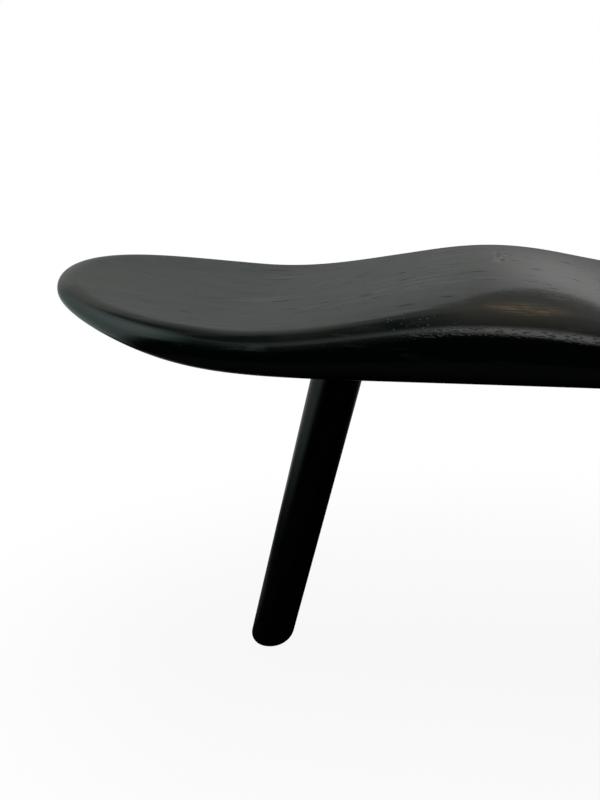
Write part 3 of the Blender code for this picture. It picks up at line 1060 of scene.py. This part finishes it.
def side_material():
    """Glow of the sheet past the left end, brightest in front of the bench and over it."""
    material, graph = new_material("studio_side")
    place = graph.add("ShaderNodeNewGeometry", {}).outputs["Position"]
    parts = graph.add("ShaderNodeSeparateXYZ", {0: place}).outputs
    across, height = parts["Y"], parts["Z"]
    by_across = between_stops(graph, across, SIDE_ACROSS)
    level = graph.blend(1.0, by_across, between_stops(graph, height, SIDE_UP), "MULTIPLY")
    lift = graph.math("SUBTRACT", height, SIDE_CORNER[1])
    lift = graph.math("MULTIPLY_ADD", graph.math("SUBTRACT", across, SIDE_CORNER[0]), SIDE_CORNER_SLOPE, lift)
    strength = graph.span(lift, *SIDE_CORNER_EDGE)
    low = graph.span(height, *SIDE_LOW_EDGE)
    patch = graph.math("MULTIPLY", low, graph.span(across, *SIDE_GLOW_ACROSS, 0.0, SIDE_GLOW))
    patch = graph.math("MULTIPLY", patch, graph.span(height, *SIDE_GLOW_UP))
    colour = graph.blend(1.0, graph.blend(1.0, level, patch, "ADD"), rgb(*PANEL_TINT), "MULTIPLY")
    glow = graph.add("ShaderNodeEmission", {"Color": colour, "Strength": strength})
    clear = graph.add("ShaderNodeBsdfTransparent", {})
    low_share = graph.math("MULTIPLY", low, graph.span(across, *SIDE_LOW_BACK_EDGE))
    share = graph.math("MAXIMUM", graph.span(across, *SIDE_BACK_EDGE), low_share)
    surface = graph.add("ShaderNodeMixShader", {0: share, 1: clear.outputs[0], 2: glow.outputs[0]})
    graph.add("ShaderNodeOutputMaterial", {"Surface": surface.outputs[0]})
    return material


def add_sheet(name, low, high, material):
    """An upright sheet between two corners that only reflections find."""
    bm = bmesh.new()
    corners = (low, (*high[:2], low[2]), high, (*low[:2], high[2]))
    bm.faces.new([bm.verts.new(corner) for corner in corners])
    sheet = add_object(name, finished_mesh(name, bm), Matrix())
    sheet.data.materials.append(material)
    sheet.visible_camera = False
    sheet.visible_diffuse = False
    sheet.visible_transmission = False
    sheet.visible_shadow = False


def add_sheets():
    """The backdrop behind the bench and the sheet past its left end."""
    add_sheet(
        "studio_backdrop",
        (-BACKDROP_HALF_WIDTH, BACKDROP_PLACE, 0.0),
        (BACKDROP_HALF_WIDTH, BACKDROP_PLACE, BACKDROP_TOP),
        backdrop_material(),
    )
    add_sheet(
        "studio_side",
        (SIDE_PLACE, SIDE_FRONT, 0.0),
        (SIDE_PLACE, SIDE_BACK, SIDE_TOP),
        side_material(),
    )


def studio_level(graph, parts):
    """Brightness of the studio over and beside the backdrop."""
    turn = graph.math("ARCTAN2", parts["Z"], parts["Y"])
    arc = between_stops(graph, graph.math("DEGREES", turn), CEILING_ARC)
    across, up = graph.span(parts["X"], *LOSS_ACROSS), graph.span(parts["Z"], *LOSS_UP)
    high_left = graph.math("MULTIPLY", across, up)
    return graph.math("MULTIPLY", arc, graph.math("MULTIPLY_ADD", high_left, -STUDIO_LEFT_LOSS, 1.0))


def panel_share(graph, parts, panel):
    """1 where a direction meets the panel, 0 clear of it."""
    middle, reach, low, high, edge = (
        math.radians(angle) for angle in (panel.middle, panel.reach, panel.low, panel.high, panel.edge)
    )
    towards = (math.sin(middle), math.cos(middle), 0.0)
    across = (math.cos(middle), -math.sin(middle), 0.0)
    ahead, aside, clear = (graph.dot(parts["direction"], line) for line in (towards, across, panel.flag))
    turn = graph.math("ABSOLUTE", graph.math("ARCTAN2", aside, ahead))
    rise = graph.math("ARCSINE", parts["Z"])
    wide = graph.span(turn, reach + edge, reach - edge)
    over_low = graph.span(rise, low - edge, low + edge)
    under_high = graph.span(rise, high + edge, high - edge)
    whole = graph.math("MULTIPLY", wide, graph.math("MULTIPLY", over_low, under_high))
    return graph.math("MULTIPLY", whole, graph.span(clear, 0.0, panel.flag_edge))


def reflected_studio(graph):
    """Colour that a reflection finds in each direction."""
    direction = graph.add("ShaderNodeTexCoord", {}).outputs["Generated"]
    outputs = graph.add("ShaderNodeSeparateXYZ", {0: direction}).outputs
    parts = {"direction": direction, "X": outputs["X"], "Y": outputs["Y"], "Z": outputs["Z"]}
    turn = graph.span(parts["X"], *STUDIO_TINT_TURN)
    tint = graph.blend(turn, rgb(*STUDIO_LEFT_TINT), rgb(*STUDIO_RIGHT_TINT))
    total = graph.scaled(tint, studio_level(graph, parts))
    for panel in PANELS:
        level = graph.math("MULTIPLY", panel_share(graph, parts, panel), panel.level)
        values = {0: total, 1: graph.scaled(panel.tint, level)}
        total = graph.add("ShaderNodeVectorMath", values, operation="ADD").outputs[0]
    return total


def add_world():
    """White behind the bench for the camera; reflections find the lit studio."""
    world = bpy.data.worlds.new("studio")
    world.use_nodes = True
    bpy.context.scene.world = world
    graph = Graph(world.node_tree)
    path = graph.add("ShaderNodeLightPath", {}).outputs
    plain = rgb(1.0, 1.0, 1.0)
    white = graph.add("ShaderNodeBackground", {"Color": plain, "Strength": 1.0}).outputs[0]
    studio = reflected_studio(graph)
    reflected = graph.add("ShaderNodeBackground", {"Color": studio, "Strength": 1.0}).outputs[0]
    dim = graph.add("ShaderNodeBackground", {"Color": plain, "Strength": DIM_LEVEL}).outputs[0]
    through = graph.math("MAXIMUM", path["Is Camera Ray"], path["Is Transmission Ray"])
    lit = graph.add("ShaderNodeMixShader", {0: path["Is Glossy Ray"], 1: dim, 2: reflected}).outputs[0]
    surface = graph.add("ShaderNodeMixShader", {0: through, 1: lit, 2: white}).outputs[0]
    graph.add("ShaderNodeOutputWorld", {"Surface": surface})


def add_softbox(box):
    """Turned to the seat; reflections find the studio's sheets and panels instead."""
    light = bpy.data.lights.new(box.name, "AREA")
    light.shape = "RECTANGLE"
    light.size, light.size_y = box.size
    light.energy = box.radiance * math.pi * box.size[0] * box.size[1]
    obj = bpy.data.objects.new(box.name, light)
    bpy.context.collection.objects.link(obj)
    obj.location = box.place
    aim = Vector((0.0, 0.0, RIM_HEIGHT)) - Vector(box.place)
    obj.rotation_euler = aim.to_track_quat("-Z", "Y").to_euler()
    obj.visible_camera = False
    obj.visible_glossy = False


def add_camera():
    data = bpy.data.cameras.new("photo_camera")
    data.sensor_width = SENSOR_MM
    data.lens = SENSOR_MM * FOCAL_PIXELS / PICTURE_HEIGHT
    camera = bpy.data.objects.new("photo_camera", data)
    bpy.context.collection.objects.link(camera)
    camera.location = CAMERA_PLACE
    camera.rotation_euler = (math.pi / 2 - CAMERA_PITCH, 0.0, CAMERA_YAW)
    bpy.context.scene.camera = camera


def dress_joinery():
    """Gives the hidden dowels and wedges their pale wood."""
    dowel = pale_wood("dowel_wood", DOWEL_LIGHT, DOWEL_DARK)
    wedge = pale_wood("wedge_wood", WEDGE_LIGHT, WEDGE_DARK)
    for name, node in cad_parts.items():
        if name.startswith("dowel_"):
            node.data.materials.clear()
            node.data.materials.append(dowel)
        elif name.startswith("wedge_"):
            node.data.materials.clear()
            node.data.materials.append(wedge)


def main():
    bpy.context.scene.view_settings.view_transform = "Standard"
    add_camera()
    add_world()
    add_floor()
    add_sheets()
    for box in SOFTBOXES:
        add_softbox(box)
    legs = all_legs()
    sockets = [
        add_object(f"socket_{leg.name}", skinned(f"socket_{leg.name}", leg.socket_rings()), leg.matrix)
        for leg in legs
    ]
    cutters = [dowel_holes(), *sockets]
    pieces = add_boards(cutters)
    for cutter in cutters:
        bpy.data.objects.remove(cutter)
    pieces += [add_leg(leg) for leg in legs]
    dress_joinery()
    for piece in pieces:
        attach(piece, "root")


main()
